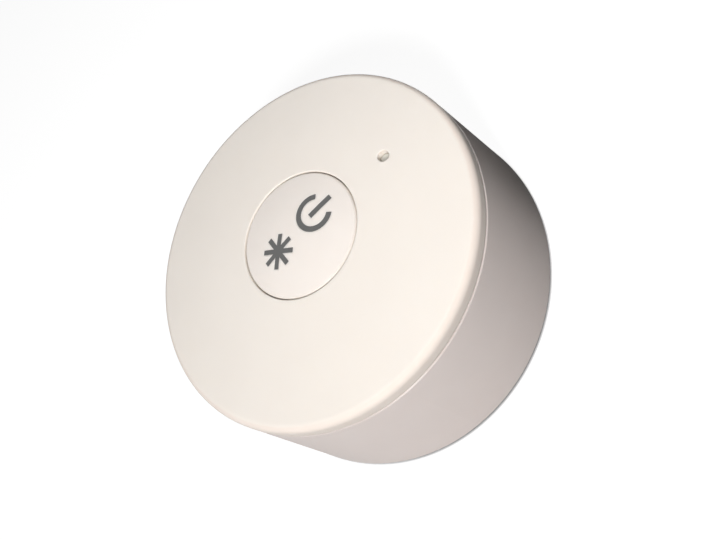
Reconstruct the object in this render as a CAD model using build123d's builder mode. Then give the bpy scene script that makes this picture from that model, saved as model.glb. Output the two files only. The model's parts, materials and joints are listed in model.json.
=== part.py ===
"""Round battery-powered push-button dimmer for LED lamps, modelled as it comes apart on a bench.

It lies on its back: Z = 0 is the plane it stands on, +Z leaves the face, and +Y points from the
button to the indicator. The axis of the round body is the Z axis. All sizes are millimetres.
"""
from build123d import *
from math import radians, sqrt, tan
import os

# Outside of the body
rim_radius = 26.1  # the front rim, at the middle of its rounding
rim_height = 23.1  # the front rim above the standing plane
wall_flare = 2.2  # how much wider the drafted wall is at the standing plane
rim_round = 1.1  # rounding between wall and face
face_crown = 0.95  # the face's middle above its edge
wall = 1.9
back_round = 0.5  # rounding between wall and floor
foot_stand = 0.3  # the floor above the standing plane
inside_round = 0.8  # rounding between floor and wall inside

# Seam between front cover and housing
seam_drop = 1.85  # below the front rim
seam_gap = 0.16
seam_bevel = 0.15
lip_thickness = 1.2
lip_length = 2.6
lip_gap = 0.1

# Front cover
face_thickness = 1.9
hole_edge_round = 0.1
sleeve_thickness = 1.2
sleeve_length = 4.6

# Push button
button_radius = 9.25
button_gap = 0.16
button_crown = 0.75
button_edge_round = 0.3
button_edge_step = 0.02  # how far the button's edge lies below the face beside it
button_thickness = 1.7
button_side_thickness = 1.4
button_travel = 0.3
button_rest_gap = 0.03  # between the flange and the face's underside at rest
flange_reach = 1.4  # how far the flange that holds the button in reaches under the face
flange_thickness = 0.9
skirt_thickness = 1.1
skirt_length = 3.4  # below the flange's top
sleeve_gap = 0.2
key_width = 1.6
key_reach = 0.9
key_gap = 0.2
post_radius = 1.9
post_rib_width = 0.9
post_rib_rise = 0.5  # least height of the ribs above the post's end

# Marks on the button
mark_depth = 0.15
mark_proud = 0.02
mark_turn = 5.9  # degrees that the marks are turned from the indicator's line
power_distance = 3.65  # from the button's middle to the power ring's middle
power_ring_radius = 2.45  # at the middle of the stroke
power_stroke = 0.8
power_opening = 96.0  # degrees left open at the top of the ring
power_bar_start = -0.75  # the bar's lower end above the ring's middle
power_bar_end = 3.2
brightness_distance = 3.7
ray_length = 2.54
ray_stroke = 0.69
ray_pairs = 4

# Indicator
indicator_distance = 15.96
indicator_hole_radius = 0.88
indicator_recess = 0.75  # the pipe's end below the face
pipe_gap = 0.1
pipe_collar_radius = 1.7
pipe_collar_thickness = 0.8
pipe_foot_radius = 1.1
pipe_led_gap = 0.3
pipe_top_round = 0.3
socket_wall = 0.7
socket_depth = 1.6

# Case screws, their posts in the housing and their bosses on the front cover
screw_count = 3
case_screw_start = 90  # degrees from +X to the first screw
case_screw_radius = 1.0
case_screw_grip = 6.0  # length inside the boss
case_head_radius = 1.9
case_head_height = 1.4
case_head_depth = 2.0  # from the foot ring's seat to the head's seat
case_boss_radius = 2.3
case_boss_root = 0.2  # how far a boss runs into the lip
case_post_wall = 0.9  # around the head's recess
screw_gap = 0.02
hole_gap = 0.2
screw_tip = 0.6
drive_length = 1.9
drive_width = 0.4
drive_depth = 0.6

# Board and its screws
board_thickness = 1.2
board_gap = 0.6  # to the bosses beside it
board_post_gap = 0.2  # between the housing's posts and the board's underside
board_screw_start = 30
board_screw_edge = 2.2  # from the board's edge to a screw
board_screw_radius = 0.8
board_screw_grip = 4.0
board_head_radius = 1.6
board_head_height = 1.1
board_boss_radius = 2.0

# Foot ring
foot_margin = 1.1  # beyond the screw heads' recess, on either side
foot_land = 0.8  # least floor between the battery cover and the foot ring
foot_inset = 0.8
foot_gap = 0.1
foot_groove_count = 3
foot_groove_width = 0.5
foot_groove_depth = 0.15

# Coin cell
cell_radius = 12.25
cell_height = 7.7
cell_cap_step = 0.5  # the cap above the can's rim
cell_cap_radius = 10.9
cell_sheet = 0.3
cell_fit = 0.02
cell_round = 0.5

# Housing floor and battery cover
floor_thickness = 2.2
cover_flange_thickness = 1.1
cover_gap = 0.15
cover_edge_round = 0.25
cover_cell_gap = 0.2
spigot_cell_gap = 0.45
spigot_wall = 0.9
lug_reach = 1.4
lug_inset = 0.1  # the lugs' ends inside the flange's edge
lug_thickness = 1.0
lug_slack = 0.05
lug_angle = 34.0
lug_notch_margin = 2.0  # degrees on either side of a lug
lug_count = 3
cover_turn = 40.0  # degrees from locked to free, clockwise as seen from the face
coin_slot_length = 16.0
coin_slot_width = 2.0
coin_slot_depth = 0.6
index_dot_radius = 0.6
index_dot_depth = 0.2
index_dot_margin = 1.5  # from the cover's edge to a dot's middle

# Battery holder and contacts
contact_space = 2.4  # between the cell and the board
holder_cell_gap = 0.25
holder_wall = 1.2
holder_lug_gap = 0.4
contact_sheet = 0.3
positive_width = 5.0
positive_length = 6.5
positive_foot = 3.0
contact_gap = 0.05
window_gap = 0.15
negative_width = 2.8
negative_root = -9.0
negative_bend = -5.0
negative_tip = 4.0
negative_pad = 2.0

# Push switch
switch_side = 6.0
switch_corner = 0.5
switch_base_height = 3.1
switch_frame_height = 0.3
plunger_radius = 1.75
plunger_gap = 0.08
plunger_rise = 1.5  # above the metal frame
plunger_flange_radius = 2.2
plunger_flange_height = 0.6
plunger_foot_radius = 0.6
plunger_foot_spare = 0.4  # the foot's length beyond its travel
dome_height = 0.5
dome_sheet = 0.1
terminal_width = 0.7
terminal_sheet = 0.3
terminal_pitch = 4.5
terminal_height = 0.9  # of the bend above the board
terminal_end = 1.0  # below the board
terminal_hole_radius = 0.55

# Parts soldered to the board
led_size = (2.0, 1.25, 0.55)
led_lens_radius = 0.5
led_lens_height = 0.25
chip_side = 5.0
chip_height = 0.9
chip_dot_radius = 0.35
chip_dot_depth = 0.1
chip_switch_gap = 2.2
crystal_size = (3.2, 2.5, 0.8)
part_spacing = 1.3  # between neighbouring parts
antenna_size = (2.0, 7.0, 1.2)
antenna_edge = 2.2  # from the board's edge to the antenna's middle
reservoir_size = (3.5, 2.8, 1.9)
chip_capacitor_size = (1.6, 0.8, 0.8)
chip_resistor_size = (1.6, 0.8, 0.45)
small_part_count = 3
small_part_pitch = 2.2

# Outside heights and radii that follow from the sizes above
face_edge_height = rim_height + rim_round / 2
face_top_height = face_edge_height + face_crown


def wall_radius(height):
    """Radius of the drafted outer wall at a height above the standing plane."""
    return rim_radius + wall_flare * (1 - height / rim_height)


face_edge_radius = wall_radius(face_edge_height)
face_ball = (face_edge_radius**2 + face_crown**2) / (2 * face_crown)


def face_height(radius):
    """Height of the crowned face at a distance from the axis."""
    return face_top_height - face_ball + sqrt(face_ball**2 - radius**2)


# Seam
seam_height = rim_height - seam_drop
cover_edge_height = seam_height + seam_gap / 2
housing_edge_height = seam_height - seam_gap / 2
lip_outer_radius = wall_radius(housing_edge_height) - wall - lip_gap
lip_inner_radius = lip_outer_radius - lip_thickness
lip_bottom = seam_height - lip_length

# Button and its sleeve
button_hole_radius = button_radius + button_gap
button_edge_height = face_height(button_hole_radius) - button_edge_step
button_ball = (button_radius**2 + button_crown**2) / (2 * button_crown)
button_top_height = button_edge_height + button_crown
button_ball_height = button_top_height - button_ball
button_ceiling = button_top_height - button_thickness
ceiling_height = face_height(button_hole_radius) - face_thickness
flange_top = ceiling_height - button_rest_gap
flange_radius = button_hole_radius + flange_reach
skirt_inner_radius = flange_radius - skirt_thickness
skirt_bottom = flange_top - skirt_length
sleeve_inner_radius = flange_radius + sleeve_gap
sleeve_outer_radius = sleeve_inner_radius + sleeve_thickness
sleeve_bottom = ceiling_height - sleeve_length

# Floor, battery cover and cell
floor_bottom = foot_stand
floor_top = floor_bottom + floor_thickness
cover_flange_top = floor_bottom + cover_flange_thickness
spigot_inner_radius = cell_radius + spigot_cell_gap
spigot_radius = spigot_inner_radius + spigot_wall
lug_radius = spigot_radius + lug_reach
lug_bottom = floor_top + lug_slack
lug_top = lug_bottom + lug_thickness
cover_radius = lug_radius + lug_inset
cell_bottom = cover_flange_top + cover_cell_gap
cell_top = cell_bottom + cell_height
can_top = cell_top - cell_cap_step
holder_inner_radius = cell_radius + holder_cell_gap
holder_radius = holder_inner_radius + holder_wall
holder_bottom = lug_top + holder_lug_gap

# Board and switch
board_bottom = cell_top + contact_space
board_top = board_bottom + board_thickness
case_screw_distance = lip_inner_radius - case_boss_radius + case_boss_root
board_radius = case_screw_distance - case_boss_radius - board_gap
board_screw_distance = board_radius - board_screw_edge
case_split_height = board_bottom - board_post_gap
switch_base_top = board_top + switch_base_height
switch_top = switch_base_top + switch_frame_height
switch_well_depth = plunger_flange_height + button_travel + plunger_foot_spare + dome_height + dome_sheet
switch_well_bottom = switch_base_top - switch_well_depth
plunger_top = switch_top + plunger_rise

# Screw recesses and foot ring
head_recess_radius = case_head_radius + hole_gap
case_post_radius = head_recess_radius + case_post_wall
foot_seat = floor_bottom + foot_inset
head_seat = foot_seat + case_head_depth
foot_land_radius = cover_radius + cover_gap + foot_land + foot_gap
foot_inner_radius = max(case_screw_distance - head_recess_radius - foot_margin, foot_land_radius)
foot_outer_radius = case_screw_distance + head_recess_radius + foot_margin


def circles_at(part, height, span=0.01):
    """Round edges of a part that lie at one height, from the smallest to the largest."""
    round_edges = part.edges().filter_by(GeomType.CIRCLE)
    return round_edges.filter_by_position(Axis.Z, height - span, height + span).sort_by(SortBy.RADIUS)


def draw_sector(inner, outer, middle, spread):
    """Draw a piece of a ring into the open sketch, centred on an angle in degrees."""
    with BuildLine() as outline:
        near = CenterArc((0, 0), inner, middle - spread / 2, spread)
        far = CenterArc((0, 0), outer, middle - spread / 2, spread)
        Line(near @ 0, far @ 0)
        Line(near @ 1, far @ 1)
    make_face(outline.edges())


def draw_ring(outer, inner):
    """Draw a ring into the open sketch."""
    Circle(outer)
    Circle(inner, mode=Mode.SUBTRACT)


def keep_crown_layer():
    """Cut the open part down to a thin layer along the button's crown."""
    with Locations((0, 0, button_ball_height)):
        Sphere(button_ball + mark_proud, mode=Mode.INTERSECT)
        Sphere(button_ball - mark_depth, mode=Mode.SUBTRACT)


# Marks: a thin second moulding, laid into the button's crown
mark_plane = Plane.XY.offset(button_edge_height - 2 * mark_depth).rotated((0, 0, mark_turn))

with BuildPart() as power_mark:
    with BuildSketch(mark_plane):
        with Locations((0, power_distance)):
            draw_ring(power_ring_radius + power_stroke / 2, power_ring_radius - power_stroke / 2)
            opening_reach = 2 * power_ring_radius
            opening_side = opening_reach * tan(radians(power_opening / 2))
            opening_corners = [(0, 0), (opening_side, opening_reach), (-opening_side, opening_reach)]
            Polygon(*opening_corners, align=None, mode=Mode.SUBTRACT)
        with Locations((0, power_distance + (power_bar_start + power_bar_end) / 2)):
            Rectangle(power_stroke, power_bar_end - power_bar_start)
    extrude(amount=2 * button_crown)
    keep_crown_layer()

with BuildPart() as brightness_mark:
    with BuildSketch(mark_plane):
        for pair in range(ray_pairs):
            with Locations(Location((0, -brightness_distance), pair * 180 / ray_pairs)):
                Rectangle(ray_stroke, 2 * ray_length)
    extrude(amount=2 * button_crown)
    keep_crown_layer()

# Push button: a crowned cap over a flange and a guided skirt, with a post that works the switch
with BuildPart() as push_button:
    with BuildSketch(Plane.XZ):
        with BuildLine():
            middle_radius = button_radius / 2
            middle_height = button_ball_height + sqrt(button_ball**2 - middle_radius**2)
            crown = ThreePointArc(
                (0, button_top_height), (middle_radius, middle_height), (button_radius, button_edge_height)
            )
            Polyline(
                crown @ 1,
                (button_radius, flange_top),
                (flange_radius, flange_top),
                (flange_radius, skirt_bottom),
                (skirt_inner_radius, skirt_bottom),
                (skirt_inner_radius, flange_top - flange_thickness),
                (button_radius - button_side_thickness, flange_top - flange_thickness),
                (button_radius - button_side_thickness, button_ceiling),
                (0, button_ceiling),
                crown @ 0,
            )
        make_face()
    revolve(axis=Axis.Z)
    fillet(circles_at(push_button, button_edge_height)[-1], button_edge_round)
    # the post: a round core with four ribs that stiffen it below the cap
    with BuildSketch(Plane.XY.offset(plunger_top)):
        Circle(post_radius)
    extrude(until=Until.NEXT)
    with BuildSketch(Plane.XY.offset(max(flange_top - flange_thickness, plunger_top + post_rib_rise))):
        rib_length = 2 * (button_radius - button_side_thickness)
        Rectangle(rib_length, post_rib_width)
        Rectangle(post_rib_width, rib_length)
    extrude(until=Until.NEXT)
    # two keys that stop it turning in the sleeve
    with BuildSketch(Plane.XY.offset(skirt_bottom)):
        Rectangle(2 * (flange_radius + key_reach), key_width)
        Circle(flange_radius - skirt_thickness / 2, mode=Mode.SUBTRACT)
    extrude(amount=skirt_length)
    add(power_mark.part, mode=Mode.SUBTRACT)
    add(brightness_mark.part, mode=Mode.SUBTRACT)

# Front cover: crowned face, rounded rim and lip, with the sleeve and the screw bosses inside
case_screw_places = PolarLocations(case_screw_distance, screw_count, start_angle=case_screw_start)
board_screw_places = PolarLocations(board_screw_distance, screw_count, start_angle=board_screw_start)

with BuildPart() as front_cover:
    with BuildSketch(Plane.XZ):
        with BuildLine():
            middle_radius = (button_hole_radius + face_edge_radius) / 2
            crown = ThreePointArc(
                (button_hole_radius, face_height(button_hole_radius)),
                (middle_radius, face_height(middle_radius)),
                (face_edge_radius, face_edge_height),
            )
            Polyline(
                crown @ 1,
                (wall_radius(cover_edge_height), cover_edge_height),
                (lip_outer_radius, cover_edge_height),
                (lip_outer_radius, lip_bottom),
                (lip_inner_radius, lip_bottom),
                (lip_inner_radius, ceiling_height),
                (button_hole_radius, ceiling_height),
                crown @ 0,
            )
        make_face()
    revolve(axis=Axis.Z)
    fillet(circles_at(front_cover, face_edge_height)[-1], rim_round)
    chamfer(circles_at(front_cover, cover_edge_height)[-1], seam_bevel)
    fillet(circles_at(front_cover, face_height(button_hole_radius))[0], hole_edge_round)
    # the sleeve that guides the button, with a slot for each key
    with BuildSketch(Plane.XY.offset(sleeve_bottom)):
        draw_ring(sleeve_outer_radius, sleeve_inner_radius)
        Rectangle(2 * sleeve_outer_radius + 1, key_width + 2 * key_gap, mode=Mode.SUBTRACT)
    extrude(amount=sleeve_length)
    # bosses for the case screws and the board screws
    with BuildSketch(Plane.XY.offset(case_split_height)):
        with case_screw_places:
            Circle(case_boss_radius)
    extrude(amount=ceiling_height - case_split_height)
    with BuildSketch(Plane.XY.offset(board_top)):
        with board_screw_places:
            Circle(board_boss_radius)
    extrude(amount=ceiling_height - board_top)
    # the socket that holds the light pipe's collar, and the hole for its tip
    with BuildSketch(Plane.XY.offset(ceiling_height - socket_depth)):
        with Locations((0, indicator_distance)):
            Circle(pipe_collar_radius + pipe_gap + socket_wall)
    extrude(amount=socket_depth)
    with BuildSketch(Plane.XY.offset(ceiling_height - socket_depth)):
        with Locations((0, indicator_distance)):
            Circle(pipe_collar_radius + pipe_gap)
    extrude(amount=socket_depth, mode=Mode.SUBTRACT)
    with BuildSketch(Plane.XY.offset(ceiling_height)):
        with Locations((0, indicator_distance)):
            Circle(indicator_hole_radius)
    extrude(amount=face_top_height - ceiling_height, mode=Mode.SUBTRACT)
    # blind holes for the screws
    with BuildSketch(Plane.XY.offset(case_split_height)):
        with case_screw_places:
            Circle(case_screw_radius + screw_gap)
    extrude(amount=case_screw_grip + screw_tip, mode=Mode.SUBTRACT)
    with BuildSketch(Plane.XY.offset(board_top)):
        with board_screw_places:
            Circle(board_screw_radius + screw_gap)
    extrude(amount=board_screw_grip + screw_tip, mode=Mode.SUBTRACT)

# Light pipe: a clear plug whose collar seats under the face
with BuildPart() as light_pipe:
    pipe_top = face_height(indicator_distance) - indicator_recess
    pipe_bottom = board_top + led_size[2] + led_lens_height + pipe_led_gap
    collar_bottom = ceiling_height - pipe_collar_thickness
    with BuildSketch(Plane.XY.offset(pipe_bottom)):
        with Locations((0, indicator_distance)):
            Circle(pipe_foot_radius)
    extrude(amount=collar_bottom - pipe_bottom)
    with BuildSketch(Plane.XY.offset(collar_bottom)):
        with Locations((0, indicator_distance)):
            Circle(pipe_collar_radius)
    extrude(amount=pipe_collar_thickness)
    with BuildSketch(Plane.XY.offset(ceiling_height)):
        with Locations((0, indicator_distance)):
            Circle(indicator_hole_radius - pipe_gap)
    extrude(amount=pipe_top - ceiling_height)
    fillet(circles_at(light_pipe, pipe_top), pipe_top_round)

# Housing: drafted wall and floor, with the battery cover's opening and the case posts
with BuildPart() as housing:
    with BuildSketch(Plane.XZ):
        with BuildLine():
            Polyline(
                (spigot_radius + cover_gap, cover_flange_top),
                (cover_radius + cover_gap, cover_flange_top),
                (cover_radius + cover_gap, floor_bottom),
                (foot_inner_radius - foot_gap, floor_bottom),
                (foot_inner_radius - foot_gap, foot_seat),
                (foot_outer_radius + foot_gap, foot_seat),
                (foot_outer_radius + foot_gap, floor_bottom),
                (wall_radius(floor_bottom), floor_bottom),
                (wall_radius(housing_edge_height), housing_edge_height),
                (wall_radius(housing_edge_height) - wall, housing_edge_height),
                (wall_radius(floor_top) - wall, floor_top),
                (spigot_radius + cover_gap, floor_top),
                close=True,
            )
        make_face()
    revolve(axis=Axis.Z)
    fillet(circles_at(housing, floor_bottom)[-1], back_round)
    fillet(circles_at(housing, floor_top)[-1], inside_round)
    chamfer(circles_at(housing, housing_edge_height)[-1], seam_bevel)
    with BuildSketch(Plane.XY.offset(foot_seat)):
        with case_screw_places:
            Circle(case_post_radius)
    extrude(amount=case_split_height - foot_seat)
    with BuildSketch(Plane.XY.offset(foot_seat)):
        with case_screw_places:
            Circle(head_recess_radius)
    extrude(amount=case_head_depth, mode=Mode.SUBTRACT)
    with BuildSketch(Plane.XY.offset(head_seat)):
        with case_screw_places:
            Circle(case_screw_radius + hole_gap)
    extrude(amount=case_split_height - head_seat, mode=Mode.SUBTRACT)
    # notches that let the cover's lugs through when it is turned to free
    with BuildSketch(Plane.XY.offset(cover_flange_top)):
        for lug in range(lug_count):
            draw_sector(
                spigot_radius,
                lug_radius + cover_gap,
                lug * 360 / lug_count - cover_turn,
                lug_angle + 2 * lug_notch_margin,
            )
    extrude(amount=floor_thickness - cover_flange_thickness, mode=Mode.SUBTRACT)
    # index dots for locked and free
    with BuildSketch(Plane.XY.offset(floor_bottom)):
        for angle in (90, 90 - cover_turn):
            with PolarLocations(cover_radius + index_dot_margin, 1, start_angle=angle):
                Circle(index_dot_radius)
    extrude(amount=index_dot_depth, mode=Mode.SUBTRACT)

# Battery cover: a disc with a coin slot, and a ring whose lugs turn over the housing's floor
with BuildPart() as battery_cover:
    with BuildSketch(Plane.XY.offset(floor_bottom)):
        Circle(cover_radius)
    extrude(amount=cover_flange_thickness)
    fillet(circles_at(battery_cover, floor_bottom), cover_edge_round)
    with BuildSketch(Plane.XY.offset(cover_flange_top)):
        draw_ring(spigot_radius, spigot_inner_radius)
    extrude(amount=lug_top - cover_flange_top)
    with BuildSketch(Plane.XY.offset(lug_bottom)):
        for lug in range(lug_count):
            draw_sector(spigot_radius - spigot_wall / 2, lug_radius, lug * 360 / lug_count, lug_angle)
    extrude(amount=lug_thickness)
    with BuildSketch(Plane.XY.offset(floor_bottom)):
        SlotOverall(coin_slot_length, coin_slot_width)
        with Locations((0, cover_radius - index_dot_margin)):
            Circle(index_dot_radius)
    extrude(amount=coin_slot_depth, mode=Mode.SUBTRACT)

# Foot ring: soft, stands below the floor and hides the case screws
with BuildPart() as foot_ring:
    with BuildSketch(Plane.XY):
        draw_ring(foot_outer_radius, foot_inner_radius)
    extrude(amount=foot_seat)
    fillet(circles_at(foot_ring, 0), foot_groove_depth)
    with BuildSketch(Plane.XY):
        for groove in range(1, foot_groove_count + 1):
            share = groove / (foot_groove_count + 1)
            groove_radius = foot_inner_radius + share * (foot_outer_radius - foot_inner_radius)
            draw_ring(groove_radius + foot_groove_width / 2, groove_radius - foot_groove_width / 2)
    extrude(amount=foot_groove_depth, mode=Mode.SUBTRACT)


def make_screws(places, radius, seat, tip_height, head_radius, head_height):
    """Make pan-head screws whose heads bear upward on a seat, as one group of solids."""
    with BuildPart() as screws:
        with BuildSketch(Plane.XY.offset(seat - head_height)):
            with places:
                Circle(head_radius)
        extrude(amount=head_height)
        chamfer(screws.edges().group_by(Axis.Z)[0], head_height / 4)
        with BuildSketch(Plane.XY.offset(seat)):
            with places:
                Circle(radius)
        extrude(amount=tip_height - seat)
        chamfer(screws.edges().group_by(Axis.Z)[-1], radius / 2)
        with BuildSketch(Plane.XY.offset(seat - head_height)):
            with places:
                Rectangle(drive_length, drive_width)
                Rectangle(drive_width, drive_length)
        extrude(amount=drive_depth, mode=Mode.SUBTRACT)
    return screws


case_screws = make_screws(
    case_screw_places,
    case_screw_radius,
    head_seat,
    case_split_height + case_screw_grip,
    case_head_radius,
    case_head_height,
)
board_screws = make_screws(
    board_screw_places,
    board_screw_radius,
    board_bottom,
    board_top + board_screw_grip,
    board_head_radius,
    board_head_height,
)

# Circuit board, with holes for its screws and the switch's pins
terminal_distance = switch_side / 2 + terminal_sheet / 2
terminal_places = GridLocations(2 * terminal_distance, terminal_pitch, 2, 2)

with BuildPart() as circuit_board:
    with BuildSketch(Plane.XY.offset(board_bottom)):
        Circle(board_radius)
        with board_screw_places:
            Circle(board_screw_radius + hole_gap, mode=Mode.SUBTRACT)
        with terminal_places:
            Circle(terminal_hole_radius, mode=Mode.SUBTRACT)
    extrude(amount=board_thickness)

# Push switch: base, metal frame, snap dome, plunger and pins
with BuildPart() as switch_base:
    with BuildSketch(Plane.XY.offset(board_top)):
        RectangleRounded(switch_side, switch_side, switch_corner)
    extrude(amount=switch_base_height)
    with BuildSketch(Plane.XY.offset(switch_well_bottom)):
        Circle(plunger_flange_radius + plunger_gap)
    extrude(amount=switch_well_depth, mode=Mode.SUBTRACT)

with BuildPart() as switch_frame:
    with BuildSketch(Plane.XY.offset(switch_base_top)):
        RectangleRounded(switch_side, switch_side, switch_corner)
        Circle(plunger_radius + plunger_gap, mode=Mode.SUBTRACT)
    extrude(amount=switch_frame_height)

with BuildPart() as switch_dome:
    dome_radius = plunger_flange_radius
    with BuildSketch(Plane.XZ):
        with BuildLine():
            dome_ball = (dome_radius**2 + dome_height**2) / (2 * dome_height)
            dome_middle = dome_height - dome_ball + sqrt(dome_ball**2 - (dome_radius / 2) ** 2)
            upper = ThreePointArc(
                (0, switch_well_bottom + dome_height + dome_sheet),
                (dome_radius / 2, switch_well_bottom + dome_middle + dome_sheet),
                (dome_radius, switch_well_bottom + dome_sheet),
            )
            lower = ThreePointArc(
                (0, switch_well_bottom + dome_height),
                (dome_radius / 2, switch_well_bottom + dome_middle),
                (dome_radius, switch_well_bottom),
            )
            Line(upper @ 0, lower @ 0)
            Line(upper @ 1, lower @ 1)
        make_face()
    revolve(axis=Axis.Z)

with BuildPart() as switch_plunger:
    plunger_foot_bottom = switch_well_bottom + dome_height + dome_sheet
    plunger_flange_top = switch_base_top
    with BuildSketch(Plane.XY.offset(plunger_flange_top - plunger_flange_height)):
        Circle(plunger_flange_radius)
    extrude(amount=plunger_flange_height)
    with BuildSketch(Plane.XY.offset(plunger_flange_top)):
        Circle(plunger_radius)
    extrude(amount=plunger_top - plunger_flange_top)
    with BuildSketch(Plane.XY.offset(plunger_foot_bottom)):
        Circle(plunger_foot_radius)
    extrude(amount=plunger_flange_top - plunger_flange_height - plunger_foot_bottom)

with BuildPart() as switch_terminals:
    with BuildSketch(Plane.XY.offset(board_bottom - terminal_end)):
        with terminal_places:
            Rectangle(terminal_sheet, terminal_width)
    extrude(amount=board_top + terminal_height - board_bottom + terminal_end)

# Parts soldered to the board's upper side
with BuildPart() as status_led:
    with Locations((0, indicator_distance, board_top)):
        Box(*led_size, align=(Align.CENTER, Align.CENTER, Align.MIN))
    with BuildSketch(Plane.XY.offset(board_top + led_size[2])):
        with Locations((0, indicator_distance)):
            Circle(led_lens_radius)
    extrude(amount=led_lens_height)

chip_middle = -(switch_side / 2 + chip_switch_gap + chip_side / 2)

with BuildPart() as radio_chip:
    with Locations((chip_middle, 0, board_top)):
        Box(chip_side, chip_side, chip_height, align=(Align.CENTER, Align.CENTER, Align.MIN))
    with BuildSketch(Plane.XY.offset(board_top + chip_height)):
        with Locations((chip_middle - chip_side / 3, chip_side / 3)):
            Circle(chip_dot_radius)
    extrude(amount=-chip_dot_depth, mode=Mode.SUBTRACT)

with BuildPart() as crystal:
    crystal_middle = -(chip_side / 2 + part_spacing + crystal_size[1] / 2)
    with Locations((chip_middle, crystal_middle, board_top)):
        Box(*crystal_size, align=(Align.CENTER, Align.CENTER, Align.MIN))
    fillet(crystal.edges().filter_by(Axis.Z), crystal_size[1] / 8)

with BuildPart() as chip_antenna:
    with Locations((antenna_edge - board_radius, 0, board_top)):
        Box(*antenna_size, align=(Align.CENTER, Align.CENTER, Align.MIN))

with BuildPart() as reservoir_capacitor:
    with Locations((-chip_middle, 0, board_top)):
        Box(*reservoir_size, align=(Align.CENTER, Align.CENTER, Align.MIN))
    chamfer(reservoir_capacitor.faces().sort_by(Axis.Z)[-1].edges(), reservoir_size[2] / 10)


def make_small_parts(size, rows):
    """Make rows of small parts on the board, each row centred on a place, as one group of solids."""
    with BuildPart() as group:
        for x, y in rows:
            with Locations((x, y, board_top)):
                with GridLocations(small_part_pitch, 0, small_part_count, 1):
                    Box(*size, align=(Align.CENTER, Align.CENTER, Align.MIN))
    return group


capacitor_row = chip_side / 2 + part_spacing
resistor_row = capacitor_row + part_spacing
capacitor_rows = [(chip_middle, capacitor_row), (-chip_middle, capacitor_row)]
resistor_rows = [(chip_middle, resistor_row), (-chip_middle, -capacitor_row)]
capacitors = make_small_parts(chip_capacitor_size, capacitor_rows)
resistors = make_small_parts(chip_resistor_size, resistor_rows)

# Coin cell: can, cap, sealing ring and the filling between them
with BuildPart() as cell_can:
    with BuildSketch(Plane.XY.offset(cell_bottom)):
        Circle(cell_radius)
    extrude(amount=can_top - cell_bottom)
    fillet(circles_at(cell_can, cell_bottom), cell_round)
    with BuildSketch(Plane.XY.offset(cell_bottom + cell_sheet)):
        Circle(cell_radius - cell_sheet)
    extrude(amount=can_top - cell_bottom - cell_sheet, mode=Mode.SUBTRACT)

with BuildPart() as cell_gasket:
    with BuildSketch(Plane.XY.offset(cell_bottom + cell_sheet)):
        draw_ring(cell_radius - cell_sheet - cell_fit, cell_cap_radius + cell_fit)
    extrude(amount=can_top - cell_bottom - cell_sheet)

with BuildPart() as cell_cap:
    with BuildSketch(Plane.XY.offset(cell_bottom + 2 * cell_sheet)):
        Circle(cell_cap_radius)
    extrude(amount=cell_top - cell_bottom - 2 * cell_sheet)
    fillet(circles_at(cell_cap, cell_top), cell_sheet)
    with BuildSketch(Plane.XY.offset(cell_bottom + 2 * cell_sheet)):
        Circle(cell_cap_radius - cell_sheet)
    extrude(amount=cell_top - cell_bottom - 3 * cell_sheet, mode=Mode.SUBTRACT)

with BuildPart() as cell_filling:
    with BuildSketch(Plane.XY.offset(cell_bottom + cell_sheet)):
        Circle(cell_cap_radius - cell_sheet - cell_fit)
    extrude(amount=cell_top - cell_bottom - 2 * cell_sheet)

# Battery holder: a ring under the board, with a window for the positive contact
window_reach = cell_radius + contact_gap + contact_sheet + window_gap

with BuildPart() as battery_holder:
    with BuildSketch(Plane.XY.offset(holder_bottom)):
        draw_ring(holder_radius, holder_inner_radius)
    extrude(amount=board_bottom - holder_bottom)
    with BuildSketch(Plane.XY.offset(holder_bottom)):
        with Locations((window_reach / 2, 0)):
            Rectangle(window_reach, positive_width + 2 * window_gap)
    extrude(amount=board_bottom - holder_bottom, mode=Mode.SUBTRACT)
    with BuildSketch(Plane.XY.offset(board_bottom - contact_sheet - window_gap)):
        with Locations((holder_radius, 0)):
            Rectangle(2 * holder_wall + 1, positive_width + 2 * window_gap)
    extrude(amount=contact_sheet + window_gap, mode=Mode.SUBTRACT)
    # room for the board screws' heads beside it
    with BuildSketch(Plane.XY.offset(board_bottom - board_head_height - window_gap)):
        with board_screw_places:
            Circle(board_head_radius + hole_gap)
    extrude(amount=board_head_height + window_gap, mode=Mode.SUBTRACT)

# Contacts: bent strips soldered under the board
with BuildPart() as positive_contact:
    with BuildSketch(Plane.XZ):
        with BuildLine():
            Polyline(
                (cell_radius + contact_gap, board_bottom - positive_length),
                (cell_radius + contact_gap, board_bottom),
                (cell_radius + contact_gap + positive_foot, board_bottom),
                (cell_radius + contact_gap + positive_foot, board_bottom - contact_sheet),
                (cell_radius + contact_gap + contact_sheet, board_bottom - contact_sheet),
                (cell_radius + contact_gap + contact_sheet, board_bottom - positive_length),
                close=True,
            )
        make_face()
    extrude(amount=positive_width / 2, both=True)

with BuildPart() as negative_contact:
    with BuildSketch(Plane.XZ):
        with BuildLine():
            Polyline(
                (negative_root, board_bottom),
                (negative_root, board_bottom - contact_sheet),
                (negative_bend, board_bottom - contact_sheet),
                (negative_tip, cell_top),
                (negative_tip + negative_pad, cell_top),
                (negative_tip + negative_pad, cell_top + contact_sheet),
                (negative_tip, cell_top + contact_sheet),
                (negative_bend, board_bottom),
                close=True,
            )
        make_face()
    extrude(amount=negative_width / 2, both=True)

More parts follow.
